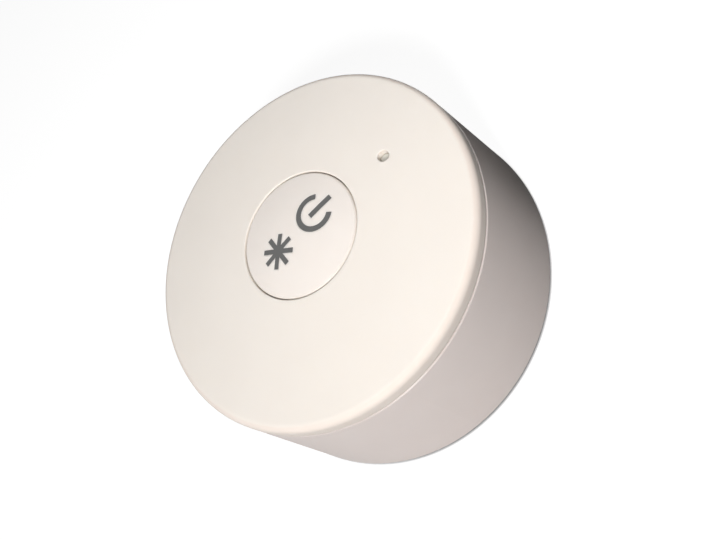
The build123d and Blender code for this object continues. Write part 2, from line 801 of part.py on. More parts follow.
pieces = {
    "front_cover": front_cover,
    "push_button": push_button,
    "power_mark": power_mark,
    "brightness_mark": brightness_mark,
    "light_pipe": light_pipe,
    "housing": housing,
    "battery_cover": battery_cover,
    "foot_ring": foot_ring,
    "case_screws": case_screws,
    "board_screws": board_screws,
    "circuit_board": circuit_board,
    "switch_base": switch_base,
    "switch_frame": switch_frame,
    "switch_dome": switch_dome,
    "switch_plunger": switch_plunger,
    "switch_terminals": switch_terminals,
    "status_led": status_led,
    "radio_chip": radio_chip,
    "crystal": crystal,
    "chip_antenna": chip_antenna,
    "reservoir_capacitor": reservoir_capacitor,
    "capacitors": capacitors,
    "resistors": resistors,
    "cell_can": cell_can,
    "cell_gasket": cell_gasket,
    "cell_cap": cell_cap,
    "cell_filling": cell_filling,
    "battery_holder": battery_holder,
    "positive_contact": positive_contact,
    "negative_contact": negative_contact,
}

os.makedirs("parts", exist_ok=True)
for name, piece in pieces.items():
    piece.part.label = name
    export_step(piece.part, f"parts/{name}.step")
    print(name, len(piece.solids()), round(piece.part.volume, 2))
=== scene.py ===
# %% [markdown]
# # A round one-button dimmer
# The real object is a puck that fits a hand: a warm white shell in two mouldings, one large
# button in its face with two grey symbols, and a small indicator hole near the rim. A battery
# cover and a rubber ring are on its back, and a small circuit board with a coin cell is inside.
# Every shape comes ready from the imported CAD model. Its edges are already rounded there, so this
# script adds no piece of its own. It sets up the camera, the lamps, the sky and the floor, and
# gives each piece its finish.

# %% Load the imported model
import json
from math import pi
from math import radians

import bpy
from mathutils import Matrix
from mathutils import Vector

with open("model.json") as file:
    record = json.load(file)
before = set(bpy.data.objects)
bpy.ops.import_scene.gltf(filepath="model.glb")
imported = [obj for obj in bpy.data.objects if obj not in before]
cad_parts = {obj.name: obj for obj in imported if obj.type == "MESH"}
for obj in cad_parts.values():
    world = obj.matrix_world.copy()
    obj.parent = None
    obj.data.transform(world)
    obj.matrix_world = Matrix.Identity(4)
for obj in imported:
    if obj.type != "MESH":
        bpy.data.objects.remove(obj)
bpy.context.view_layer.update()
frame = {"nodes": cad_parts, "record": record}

scene = bpy.context.scene
nodes = frame["nodes"]
slot_of = {row["node"]: row["material_slot"] for row in frame["record"]["subparts"]}
print("nodes", len(nodes), "slots", len(set(slot_of.values())))

# %% [markdown]
# ## The camera
# The photograph looks steeply down on the face from close by, with the camera rolled over. A close
# camera makes the near rim larger than the far one, so its distance matters as much as its
# direction. It could be set by eye, but the rim, the button and the back edge are round on the
# real object, so their three ellipses give the eye's place, its target and the roll. The picture
# was cut off-centre from a larger one, which a small vertical shift stands for.

# %% Camera
eye_place = Vector((0.05734, 0.02337, 0.09506))
eye_target = Vector((0.00098, 0.01082, 0.0245))
eye_roll = radians(52.809)
sensor_width = 36.0
lens_length = 33.774
frame_shift = -0.1187
near_clip = 0.001
far_clip = 20.0

camera_data = bpy.data.cameras.new("camera")
camera_data.sensor_width = sensor_width
camera_data.lens = lens_length
camera_data.shift_y = frame_shift
camera_data.clip_start = near_clip
camera_data.clip_end = far_clip
camera = bpy.data.objects.new("camera", camera_data)
scene.collection.objects.link(camera)
level_turn = (eye_target - eye_place).to_track_quat("-Z", "Y").to_matrix()
rolled_turn = level_turn @ Matrix.Rotation(-eye_roll, 3, "Z")
camera.matrix_world = Matrix.Translation(eye_place) @ rolled_turn.to_4x4()
scene.camera = camera
scene.view_settings.view_transform = "Standard"
print("camera distance in mm", round(1000 * (eye_target - eye_place).length, 1))

# %% [markdown]
# ## The lamps
# Three soft lamps light the puck. A single large lamp could make the face as bright, but not one
# side of the wall bright and the other dark. So the key lamp stands far off to one side and almost
# as high as it is far. A small lamp close above the face fills it, and because it is close, the
# light falls off across the face as it does in the photograph. A low lamp on the hidden side
# shines up from below, so that the back shows too.

# %% Lamps
face_middle = Vector((0.0, 0.0, 0.0245))
key_lamp = {"stand": Vector((0.4, -0.125, 0.36)), "width": 0.12, "power": 2.36}
near_lamp = {"stand": Vector((0.024, 0.039, 0.13)), "width": 0.04, "power": 0.0645}
low_lamp = {"stand": Vector((-0.29, -0.08, -0.26)), "width": 0.2, "power": 1.1}


def soft_lamp(name, stand, width, power):
    """A square lamp that stands here, aimed at the middle of the face."""
    data = bpy.data.lights.new(name, "AREA")
    data.size = width
    data.energy = power
    lamp = bpy.data.objects.new(name, data)
    scene.collection.objects.link(lamp)
    lamp.location = stand
    lamp.visible_camera = False
    lamp.rotation_mode = "QUATERNION"
    lamp.rotation_quaternion = (face_middle - stand).to_track_quat("-Z", "Y")
    distance = (face_middle - stand).length
    level = power / (pi * distance) ** 2
    print(name, "at", round(1000 * distance), "mm, level where it points", round(level, 2))


soft_lamp("key_lamp", **key_lamp)
soft_lamp("near_lamp", **near_lamp)
soft_lamp("low_lamp", **low_lamp)

# %% [markdown]
# ## Helpers for node trees
# A finish is a tree of small nodes. It could be put together by hand on the screen, but in a
# script every value can be read and changed. Three helpers keep each step on one line: one feeds a
# node's inputs with plain values or with other nodes' outputs, one places a node and feeds it, and
# one does a sum.

# %% Node helpers


def feed(tree, node, inputs):
    """Gives each named input of the node its value, or a link where the value is an output."""
    for name, value in inputs.items():
        if isinstance(value, bpy.types.NodeSocket):
            tree.links.new(value, node.inputs[name])
        else:
            node.inputs[name].default_value = value
    return node


def place(tree, kind, inputs=None, **settings):
    """A new node, with its properties set and its inputs given values or links."""
    node = tree.nodes.new(kind)
    for name, value in settings.items():
        setattr(node, name, value)
    return feed(tree, node, inputs or {})


def maths(tree, operation, *values):
    """The result of one sum on numbers or outputs."""
    return place(tree, "ShaderNodeMath", dict(enumerate(values)), operation=operation).outputs[0]


print("helpers for nodes: feed, place, maths")

# %% [markdown]
# ## The sky
# The sky lights what the lamps don't reach. An even sky would be simpler, but in the photograph
# one side of the wall is almost black. So the sky is weak on that side and grows evenly towards
# the opposite one, by the direction that the light comes from. Where the camera, a reflection or a
# clear piece shows the sky itself, it is white.

# %% Sky
white = (1.0, 1.0, 1.0, 1.0)
sky_bright_side = Vector((0.07, -0.998, 0.0))
sky_middle = 0.0
sky_slope = 0.14
sky_least = 0.01

world = bpy.data.worlds.new("sky")
world.use_nodes = True
scene.world = world
sky = world.node_tree
sky.nodes.clear()


def vector_sum(tree, operation, first, second, result):
    """One sum on two vectors, with the output that holds its result."""
    node = place(tree, "ShaderNodeVectorMath", {0: first, 1: second}, operation=operation)
    return node.outputs[result]


def seen_directly(tree):
    """1 for rays from the camera, off a shiny surface or through a clear one, 0 for all others."""
    path = place(tree, "ShaderNodeLightPath").outputs
    shiny = maths(tree, "MAXIMUM", path["Is Camera Ray"], path["Is Glossy Ray"])
    return maths(tree, "MAXIMUM", shiny, path["Is Transmission Ray"])


sky_direction = place(sky, "ShaderNodeTexCoord").outputs["Generated"]
sky_side = vector_sum(sky, "DOT_PRODUCT", sky_direction, sky_bright_side, "Value")
sky_rise = maths(sky, "MULTIPLY_ADD", sky_side, sky_slope, sky_middle)
sky_level = maths(sky, "MAXIMUM", sky_rise, sky_least)
sky_light = place(sky, "ShaderNodeBackground", {"Strength": sky_level})
sky_seen = place(sky, "ShaderNodeBackground", {"Color": white})
sky_parts = {0: seen_directly(sky), 1: sky_light.outputs[0], 2: sky_seen.outputs[0]}
sky_mix = place(sky, "ShaderNodeMixShader", sky_parts)
place(sky, "ShaderNodeOutputWorld", {"Surface": sky_mix.outputs[0]})
print("sky from", sky_least, "to", round(sky_middle + sky_slope, 2))

# %% [markdown]
# ## The floor
# The object lies on a plain pale sheet, which is stage and not a piece. One large square is
# enough, because nothing but the object stands on it. Its light doesn't reach the object, so that
# the lamps and the sky alone set the shell's level.

# %% Floor
floor_half = 3.0

floor_mesh = bpy.data.meshes.new("floor")
floor_signs = ((-1, -1), (1, -1), (1, 1), (-1, 1))
floor_corners = [(x * floor_half, y * floor_half, 0.0) for x, y in floor_signs]
floor_mesh.from_pydata(floor_corners, [], [(0, 1, 2, 3)])
floor = bpy.data.objects.new("floor", floor_mesh)
scene.collection.objects.link(floor)
floor.visible_shadow = False
floor.visible_diffuse = False
print("floor", 2 * floor_half, "m wide")

# %% [markdown]
# ### The floor's glow
# A white sheet under these lamps would come out grey, and stronger lamps would wash out the shell.
# So the sheet is grey, and it glows only for rays that see it directly, off a shiny surface or
# through a clear one. It looks white that way and still takes the object's soft shadow. Right
# under the puck's edge no light gets in, so the glow fades over less than a millimetre there,
# which leaves the thin dark line where the object stands. The sheet is clear from behind, so that
# a camera below it sees the object's back.

# %% Floor finish
floor_colour = (0.3, 0.3, 0.3, 1.0)
floor_glow = 0.86
contact_reach = 0.0007
contact_samples = 16
closed_share = 0.5
open_share = 0.85

floor_finish = bpy.data.materials.new("pale_floor")
floor_finish.use_nodes = True
floor_mesh.materials.append(floor_finish)
sheet = floor_finish.node_tree
sheet.nodes.clear()


def remap(tree, value, low, high, new_low=0.0, new_high=1.0):
    """The value's range from low to high, stretched to the new range and held inside it."""
    old_range = {"From Min": low, "From Max": high}
    new_range = {"To Min": new_low, "To Max": new_high}
    node = place(tree, "ShaderNodeMapRange", {"Value": value, **old_range, **new_range})
    return node.outputs["Result"]


def open_to_light(tree, reach, samples):
    """How open a place is, from 0 in a closed corner to 1 with nothing within this reach."""
    return place(tree, "ShaderNodeAmbientOcclusion", {"Distance": reach}, samples=samples).outputs["AO"]


paper = place(sheet, "ShaderNodeBsdfDiffuse", {"Color": floor_colour})
open_floor = open_to_light(sheet, contact_reach, contact_samples)
open_glow = remap(sheet, open_floor, closed_share, open_share, 0.0, floor_glow)
glow_level = maths(sheet, "MULTIPLY", seen_directly(sheet), open_glow)
glow = place(sheet, "ShaderNodeEmission", {"Strength": glow_level})
lit_paper = place(sheet, "ShaderNodeAddShader", {0: paper.outputs[0], 1: glow.outputs[0]})
clear = place(sheet, "ShaderNodeBsdfTransparent")
behind = place(sheet, "ShaderNodeNewGeometry").outputs["Backfacing"]
floor_parts = {0: behind, 1: lit_paper.outputs[0], 2: clear.outputs[0]}
floor_mix = place(sheet, "ShaderNodeMixShader", floor_parts)
place(sheet, "ShaderNodeOutputMaterial", {"Surface": floor_mix.outputs[0]})
print("floor finish with", len(sheet.nodes), "nodes")

# %% [markdown]
# ## Shared effects
# Some things happen to every surface: its tool leaves a grain, its colour drifts a little, its
# edges wear smooth and its corners gather dust. The same nodes could be copied into each material,
# but then every change would have to be made many times. So each effect is built once as a node
# group with named inputs, and each finish places it with its own values. A group gives out only
# colours, masks, heights and normals, and the shader itself stays in the material.

# %% A new shared effect
FLOAT = "NodeSocketFloat"
COLOUR = "NodeSocketColor"
VECTOR = "NodeSocketVector"


def new_effect(name, inputs, outputs):
    """An empty node group with these named inputs and outputs, and its two end nodes."""
    group = bpy.data.node_groups.new(name, "ShaderNodeTree")
    for label, kind, value in inputs:
        socket = group.interface.new_socket(name=label, in_out="INPUT", socket_type=kind)
        socket.default_value = value
    for label, kind in outputs:
        group.interface.new_socket(name=label, in_out="OUTPUT", socket_type=kind)
    return group, group.nodes.new("NodeGroupInput").outputs, group.nodes.new("NodeGroupOutput")


def give(group, end, **results):
    """Links each result to the group's output of that name."""
    for name, socket in results.items():
        group.links.new(socket, end.inputs[name])
    print("effect", group.name, "with", len(group.nodes), "nodes")


print("kinds of input and output", FLOAT, COLOUR, VECTOR)

# %% [markdown]
# ### A pattern's place and size
# Every pattern needs to know where on the piece a point lies. The surface could be laid flat as
# cloth is, but that needs cuts. The piece's own three directions need none, and the pattern goes
# through the piece as grain goes through wood. The place is counted in steps of one size, so that
# an effect's size is a plain length.

# %% Place, steps and noise


def here_on(tree):
    """The place on the piece, in metres."""
    return place(tree, "ShaderNodeTexCoord").outputs["Object"]


def steps_along(tree, size):
    """The place on the piece, counted in steps of this size."""
    here = here_on(tree)
    per_metre = maths(tree, "DIVIDE", 1.0, size)
    inputs = {0: here, "Scale": per_metre}
    return place(tree, "ShaderNodeVectorMath", inputs, operation="SCALE").outputs[0]


def noise(tree, where, scale=1.0, **values):
    """Noise at this place. Its other inputs are named in lower case."""
    inputs = {name.capitalize(): value for name, value in values.items()}
    return place(tree, "ShaderNodeTexNoise", {"Vector": where, "Scale": scale, **inputs}).outputs["Fac"]


print("helpers for patterns: here_on, steps_along, noise")

# %% [markdown]
# ### Grain of the mould
# A spark cuts the steel mould for a matt moulding, and the plastic copies its tiny pits. They are
# far too small and too many to model, so a bump stands for them. Noise with a little finer noise
# on it gives their height, and a soft cell pattern gives the specks that catch the light.

# %% Grain
grain_inputs = [("Size", FLOAT, 0.0002)]
grain_outputs = [("Height", FLOAT), ("Specks", FLOAT)]
speck_scale = 0.6

grain, grain_in, grain_end = new_effect("mould_grain", grain_inputs, grain_outputs)
grain_place = steps_along(grain, grain_in["Size"])
grain_pits = noise(grain, grain_place, detail=2.0, roughness=0.6)
speck_inputs = {"Vector": grain_place, "Scale": speck_scale}
specks = place(grain, "ShaderNodeTexVoronoi", speck_inputs, feature="SMOOTH_F1").outputs["Distance"]
give(grain, grain_end, Height=grain_pits, Specks=specks)

# %% [markdown]
# ### Drift of colour
# No moulding or plating has one even colour, and a piece with one looks drawn. The patches could
# be painted by hand, but slow noise does it on every piece at once. It makes the colour a little
# lighter here and darker there, and a second, slower noise makes it a little warmer or paler.

# %% Drift
plain_grey = (0.8, 0.8, 0.8, 1.0)
drift_inputs = [("Colour", COLOUR, plain_grey), ("Patch", FLOAT, 0.008), ("Amount", FLOAT, 0.03)]
drift_outputs = [("Colour", COLOUR), ("Patches", FLOAT)]
warm_scale = 0.45
warm_swing = 2.5

drift, drift_in, drift_end = new_effect("colour_drift", drift_inputs, drift_outputs)
drift_place = steps_along(drift, drift_in["Patch"])
light_patches = noise(drift, drift_place, detail=3.0)
warm_patches = noise(drift, drift_place, warm_scale, detail=1.0)
lighter = remap(drift, light_patches, low=0.25, high=0.75, new_low=-1.0, new_high=1.0)
warmer = remap(drift, warm_patches, low=0.3, high=0.7, new_low=-warm_swing, new_high=warm_swing)
light_factor = maths(drift, "MULTIPLY_ADD", lighter, drift_in["Amount"], 1.0)
warm_factor = maths(drift, "MULTIPLY_ADD", warmer, drift_in["Amount"], 1.0)
drift_shade = {"Saturation": warm_factor, "Value": light_factor, "Color": drift_in["Colour"]}
drift_colour = place(drift, "ShaderNodeHueSaturation", drift_shade).outputs["Color"]
give(drift, drift_end, Colour=drift_colour, Patches=light_patches)

# %% [markdown]
# ### Worn edges and dusty corners
# Hands polish the edges that stand out, and dust stays in the corners. Wear could be read from the
# mesh's own points, but they lie close together in some places and far apart in others. A bevelled
# normal differs from the true one only near an edge, wherever the points are, and shade from near
# surfaces tells a corner from an edge. The bevelled normal also goes on to the shader, because no
# real edge is perfectly sharp.

# %% Edges
edge_inputs = [("Reach", FLOAT, 0.0003)]
edge_outputs = [("Worn", FLOAT), ("Dust", FLOAT), ("Normal", VECTOR)]
bevel_samples = 6
corner_samples = 4
corner_reaches = 3.0
break_reaches = 2.0

edges, edges_in, edges_end = new_effect("edges_and_corners", edge_inputs, edge_outputs)
bevel_inputs = {"Radius": edges_in["Reach"]}
round_normal = place(edges, "ShaderNodeBevel", bevel_inputs, samples=bevel_samples).outputs["Normal"]
true_normal = place(edges, "ShaderNodeNewGeometry").outputs["Normal"]
same_way = vector_sum(edges, "DOT_PRODUCT", round_normal, true_normal, "Value")
edge_share = remap(edges, same_way, low=0.995, high=0.85)
corner_reach = maths(edges, "MULTIPLY", edges_in["Reach"], corner_reaches)
open_here = open_to_light(edges, corner_reach, corner_samples)
edge_place = steps_along(edges, maths(edges, "MULTIPLY", edges_in["Reach"], break_reaches))
break_share = remap(edges, noise(edges, edge_place, detail=3.0), low=0.35, high=0.65)
stands_out = remap(edges, open_here, low=0.7, high=0.95)
lies_in = remap(edges, open_here, low=0.75, high=0.35)
worn_share = maths(edges, "MULTIPLY", maths(edges, "MULTIPLY", edge_share, stands_out), break_share)
dust_share = maths(edges, "MULTIPLY", lies_in, break_share)
give(edges, edges_end, Worn=worn_share, Dust=dust_share, Normal=round_normal)

# %% [markdown]
# ### Painted shade on the rims
# The rounded rim and the button's rounded edge turn towards the key lamp and come out brighter
# than the flat face, so they are painted a slightly deeper, warmer tone: painted shade that dims
# them. They could be picked out face by face, but the upward part of the normal tells a rounding
# from the face by itself. Shade from near surfaces keeps the painted shade out of holes. The input
# Side says how much of the painted shade goes on a wall, which faces sideways.

# %% Rims
rim_shade_inputs = [("Side", FLOAT, 0.4)]
rim_shade_outputs = [("Share", FLOAT)]
rim_shade_hole_reach = 0.0012
rim_shade_samples = 6

# The share is where painted shade goes: on the roundings, and by Side on the walls.
rim_shade, rim_shade_in, rim_shade_end = new_effect("painted_rim_shade", rim_shade_inputs, rim_shade_outputs)
rim_shade_normal = place(rim_shade, "ShaderNodeNewGeometry").outputs["Normal"]
faces_up = place(rim_shade, "ShaderNodeSeparateXYZ", {0: rim_shade_normal}).outputs["Z"]
off_face = remap(rim_shade, faces_up, low=0.992, high=0.9)
off_side = remap(rim_shade, faces_up, low=0.1, high=0.5, new_low=rim_shade_in["Side"])
outside_holes = remap(rim_shade, open_to_light(rim_shade, rim_shade_hole_reach, rim_shade_samples), low=0.5, high=0.8)
on_rounding = maths(rim_shade, "MULTIPLY", off_face, off_side)
give(rim_shade, rim_shade_end, Share=maths(rim_shade, "MULTIPLY", on_rounding, outside_holes))

# %% [markdown]
# ### Hairline scratches
# Handling leaves a few fine scratches. Each could be drawn as a thin curve, but noise gives any
# number of them: when it is stretched long, it crosses its middle value along thin lines. A slower
# noise keeps most of them away, so that a few short scratches stay.

# %% Hairlines
scratch_inputs = [("Length", FLOAT, 0.006)]
scratch_outputs = [("Lines", FLOAT)]
scratch_turns = ((0.3, 0.2, 0.7), (0.1, 0.5, 2.0))
scratch_stretches = ((1.0, 22.0, 22.0), (1.3, 27.0, 27.0))
middle_value = 0.5
line_half_width = 0.02
area_scale = 1.7

scratch, scratch_in, scratch_end = new_effect("hairlines", scratch_inputs, scratch_outputs)
scratch_place = steps_along(scratch, scratch_in["Length"])
scratch_lines = []
for turn, stretch in zip(scratch_turns, scratch_stretches):
    long_inputs = {"Vector": scratch_place, "Rotation": turn, "Scale": stretch}
    long_place = place(scratch, "ShaderNodeMapping", long_inputs).outputs["Vector"]
    long_noise = noise(scratch, long_place, detail=0.0)
    off_middle = maths(scratch, "ABSOLUTE", maths(scratch, "SUBTRACT", long_noise, middle_value))
    scratch_lines.append(remap(scratch, off_middle, low=line_half_width, high=0.0))
scratch_areas = noise(scratch, scratch_place, area_scale, detail=1.0)
scratch_share = remap(scratch, scratch_areas, low=0.5, high=0.68)
all_lines = maths(scratch, "MULTIPLY", maths(scratch, "MAXIMUM", *scratch_lines), scratch_share)
give(scratch, scratch_end, Lines=all_lines)

# %% [markdown]
# ### Drawn and turned metal
# Rolled and drawn metal has fine lines one way, and a part pressed in a round die has fine rings.
# A gloss that is stretched one way could stand for them, but small bumps also show the single
# lines from close by. Both are noise that is squeezed across the lines. The rings use the distance
# from the object's middle axis as their place.

# %% Metal grain
drawn_inputs = [("Stretch", VECTOR, (1.0, 1.0, 1.0))]
ring_inputs = [("Pitch", FLOAT, 0.00015)]
height_output = [("Height", FLOAT)]

drawn, drawn_in, drawn_end = new_effect("drawn_lines", drawn_inputs, height_output)
drawn_place = vector_sum(drawn, "MULTIPLY", here_on(drawn), drawn_in["Stretch"], "Vector")
give(drawn, drawn_end, Height=noise(drawn, drawn_place, detail=4.0))

rings, rings_in, rings_end = new_effect("turned_rings", ring_inputs, height_output)
from_middle = place(rings, "ShaderNodeSeparateXYZ", {0: here_on(rings)}).outputs
flat_inputs = {"X": from_middle["X"], "Y": from_middle["Y"]}
flat_place = place(rings, "ShaderNodeCombineXYZ", flat_inputs).outputs["Vector"]
ring_radius = place(rings, "ShaderNodeVectorMath", {0: flat_place}, operation="LENGTH").outputs["Value"]
ring_run = maths(rings, "ADD", ring_radius, from_middle["Z"])
ring_values = {"W": maths(rings, "DIVIDE", ring_run, rings_in["Pitch"]), "Scale": 1.0, "Detail": 3.0}
ring_noise = place(rings, "ShaderNodeTexNoise", ring_values, noise_dimensions="1D").outputs["Fac"]
give(rings, rings_end, Height=ring_noise)

# %% [markdown]
# ## One way to build every finish
# Every material places the same shared effects and mixes colours by their masks. Both could be
# written out each time, but two helpers are shorter. A mix node keeps its colour sockets behind
# the ones for numbers and vectors, so they are found by their number.

# %% Effects and colours in a material
mix_first_colour = 6
mix_second_colour = 7
mix_colour_result = 2


def effect(tree, group, **inputs):
    """A shared effect placed in this tree, as its outputs."""
    return feed(tree, place(tree, "ShaderNodeGroup", node_tree=group), inputs).outputs


def blend_colours(tree, share, first, second):
    """Two colours mixed, with this share of the second one."""
    inputs = {0: share, mix_first_colour: first, mix_second_colour: second}
    return place(tree, "ShaderNodeMix", inputs, data_type="RGBA").outputs[mix_colour_result]


print("shared effects", [group.name for group in (grain, drift, edges, rim_shade, scratch, drawn, rings)])

# %% [markdown]
# ### The finish builder
# A finish starts from a colour that drifts, then worn edges and dusty corners change it. Its grain
# makes tiny bumps, and its roughness varies with the grain, the wear and the scratches. Eighteen
# trees could be built one by one, but what differs from one material to the next is only the
# values. So one function builds the tree, and the cells below give each material its own. Sizes,
# depths and reaches are in metres.

# %% The finish builder
finishes = {}
rough_swing = 0.06
edge_polish = -0.1
scratch_depth = 0.000002


def new_finish(
    name, colour, worn, dusty, rough, drift_by, patch, grain_size, grain_depth, reach,
    metal=0.0, mirror=0.5, rough_patch=0.08, scratch_length=0.006, scratch_rough=0.08,
):
    """A material with drift, grain, wear, dust and scratches, as its tree and its shader."""
    material = bpy.data.materials.new(name)
    material.use_nodes = True
    tree = material.node_tree
    shader = tree.nodes["Principled BSDF"]
    shader.inputs["Metallic"].default_value = metal
    shader.inputs["Specular IOR Level"].default_value = mirror

    tones = effect(tree, drift, Colour=(*colour, 1.0), Patch=patch, Amount=drift_by)
    wear = effect(tree, edges, Reach=reach)
    pits = effect(tree, grain, Size=grain_size)
    lines = effect(tree, scratch, Length=scratch_length)["Lines"]
    worn_tone = blend_colours(tree, wear["Worn"], tones["Colour"], (*worn, 1.0))
    dusty_tone = blend_colours(tree, wear["Dust"], worn_tone, (*dusty, 1.0))
    tree.links.new(dusty_tone, shader.inputs["Base Color"])

    smoothest = rough - rough_swing
    roughest = rough + rough_swing
    speck_rough = remap(tree, pits["Specks"], 0.0, 1.0, smoothest, roughest)
    patch_level = maths(tree, "MULTIPLY_ADD", tones["Patches"], rough_patch, speck_rough)
    worn_level = maths(tree, "MULTIPLY_ADD", wear["Worn"], edge_polish, patch_level)
    rough_level = maths(tree, "MULTIPLY_ADD", lines, scratch_rough, worn_level)
    tree.links.new(rough_level, shader.inputs["Roughness"])

    pit_inputs = {"Height": pits["Height"], "Distance": grain_depth, "Normal": wear["Normal"]}
    pitted = place(tree, "ShaderNodeBump", pit_inputs).outputs["Normal"]
    cut_inputs = {"Height": lines, "Distance": scratch_depth, "Normal": pitted}
    scratched = place(tree, "ShaderNodeBump", cut_inputs, invert=True).outputs["Normal"]
    tree.links.new(scratched, shader.inputs["Normal"])
    finishes[name] = material
    print("finish", name, "with", len(tree.nodes), "nodes")
    return tree, shader


print("roughness varies by", rough_swing, "and is lower on worn edges by", -edge_polish)

# %% [markdown]
# ### More on one finish
# A few finishes need one thing that the others don't have, such as lint, tracks or a band. The
# builder could have an input for each, but most would stay empty. So the extra colour or bump goes
# between the finished tree and the shader afterwards.

# %% Paint and relief


def paint(tree, shader, share, colour):
    """Puts another colour over the finish, where the share is 1."""
    under = shader.inputs["Base Color"].links[0].from_socket
    tree.links.new(blend_colours(tree, share, under, (*colour, 1.0)), shader.inputs["Base Color"])


def add_relief(tree, shader, height, depth):
    """Puts one more bump over the finish."""
    under = shader.inputs["Normal"].links[0].from_socket
    bump = place(tree, "ShaderNodeBump", {"Height": height, "Distance": depth, "Normal": under})
    tree.links.new(bump.outputs["Normal"], shader.inputs["Normal"])


print("helpers for one finish: paint, add_relief")

# %% [markdown]
# ## The white shell
# The cover, the button and the housing are moulded in a warm white plastic with a fine satin
# grain. One finish could serve all three, but the button is a little glossier than the cover, and
# the housing is a touch pinker and rougher. The housing's colour is also darker than the cover's,
# which is partly painted shade for its sideways wall. The edges are polished by the hand, and a
# trace of warm dust sits in the seam and round the button.

# %% Shell plastics
cover_tree, cover_shader = new_finish(
    "cover_plastic", (0.912, 0.847, 0.782), worn=(0.92, 0.86, 0.8), dusty=(0.85, 0.785, 0.7),
    rough=0.5, drift_by=0.012, patch=0.011, grain_size=0.00022, grain_depth=0.0000025,
    reach=0.0003, mirror=0.08, scratch_rough=0.05,
)
button_tree, button_shader = new_finish(
    "button_plastic", (0.902, 0.834, 0.78), worn=(0.92, 0.86, 0.8), dusty=(0.85, 0.785, 0.7),
    rough=0.38, drift_by=0.01, patch=0.007, grain_size=0.00018, grain_depth=0.0000018,
    reach=0.0002, mirror=0.25, scratch_rough=0.06,
)
# Partly painted shade: the housing's colour is darker than the cover's, for its sideways wall.
housing_tree, housing_shader = new_finish(
    "housing_plastic", (0.85, 0.752, 0.71), worn=(0.86, 0.765, 0.73), dusty=(0.55, 0.48, 0.42),
    rough=0.62, drift_by=0.015, patch=0.009, grain_size=0.00026, grain_depth=0.000004,
    reach=0.0003, mirror=0.0, scratch_rough=0.06,
)

# %% [markdown]
# ### Painted shade on the rims and the seam
# The cover takes the painted shade on its rim and down its short side. The button's side takes a
# little less, and the housing has it at its top edge only. That edge at the seam is rubbed smooth,
# and in the photograph it shows as a fine bright line. A pale line could be painted there, but a
# gloss of its own follows the key lamp and is bright only where the edge faces it. Under that
# gloss the edge is painted darker as painted shade, which keeps the line dim where the gloss
# misses the lamp.

# %% Rim tones
cover_rim_shade_tone = (0.874, 0.78, 0.71)
button_rim_shade_tone = (0.8, 0.735, 0.68)
seam_shade_tone = (0.78, 0.68, 0.64)
seam_gloss_rough = 0.27

# Painted shade: a deeper tone on the cover's rim and side, and on the button's edge.
cover_rim_shade = effect(cover_tree, rim_shade, Side=1.0)["Share"]
button_rim_shade = effect(button_tree, rim_shade, Side=0.6)["Share"]
seam_shade_and_gloss = effect(housing_tree, rim_shade, Side=0.0)["Share"]
paint(cover_tree, cover_shader, cover_rim_shade, cover_rim_shade_tone)
paint(button_tree, button_shader, button_rim_shade, button_rim_shade_tone)
# Painted shade: the seam's edge is painted darker, and its glossy coat goes on the same share.
paint(housing_tree, housing_shader, seam_shade_and_gloss, seam_shade_tone)
housing_tree.links.new(seam_shade_and_gloss, housing_shader.inputs["Coat Weight"])
housing_shader.inputs["Coat Roughness"].default_value = seam_gloss_rough
print("seam gloss roughness", seam_gloss_rough)

# %% [markdown]
# ### Light inside the plastic
# Light goes a little way into such plastic and comes out beside. A paler tone in the small gap and
# the hole could look alike from one side, but scattered light softens them from every side. It
# goes as deep for red as for green and blue, because this white has no tint inside.

# %% Scatter
scatter_share = 0.6
scatter_colours = (1.0, 1.0, 1.0)
scatter_depth = 0.0004

for shader in (cover_shader, button_shader, housing_shader):
    shader.inputs["Subsurface Weight"].default_value = scatter_share
    shader.inputs["Subsurface Radius"].default_value = scatter_colours
    shader.inputs["Subsurface Scale"].default_value = scatter_depth
print("scatter depth in mm", 1000 * scatter_depth)

# %% [markdown]
# ## The grey symbols
# The symbols could be a print, but here they are a second moulding in grey, level with the
# button's face. So each is a piece of its own and takes a plain finish.

# %% Symbol plastic
new_finish(
    "mark_grey", (0.108, 0.108, 0.105), worn=(0.18, 0.178, 0.17), dusty=(0.16, 0.15, 0.135),
    rough=0.5, drift_by=0.05, patch=0.002, grain_size=0.00012, grain_depth=0.000002,
    reach=0.00008,
)

# %% [markdown]
# ## The light pipe
# A plastic rod carries the indicator's light up to the small hole. If it were fully clear, it
# would show only the dark inside, so it is slightly hazy and keeps some of its pale colour. Its
# clearness and its bending of light are plain values on the shader.

# %% Clear plastic
pipe_clearness = 0.35
pipe_bending = 1.58

pipe_shader = new_finish(
    "clear_plastic", (0.88, 0.86, 0.78), worn=(0.95, 0.95, 0.92), dusty=(0.7, 0.68, 0.6),
    rough=0.32, drift_by=0.02, patch=0.002, grain_size=0.0001, grain_depth=0.000001,
    reach=0.00008, rough_patch=0.1,
)[1]
pipe_shader.inputs["Transmission Weight"].default_value = pipe_clearness
pipe_shader.inputs["IOR"].default_value = pipe_bending

# %% [markdown]
# ## The rubber ring
# The foot is soft grey silicone. It is matt, takes up lint, and shines a little at a low angle.
# The lint could be modelled as threads, but at this size a dot at the middle of each cell of a
# loose cell pattern is enough.

# %% Rubber
rubber_sheen = 0.15
lint_step = 0.0011
lint_cover = 0.5
lint_tone = (0.5, 0.48, 0.45)

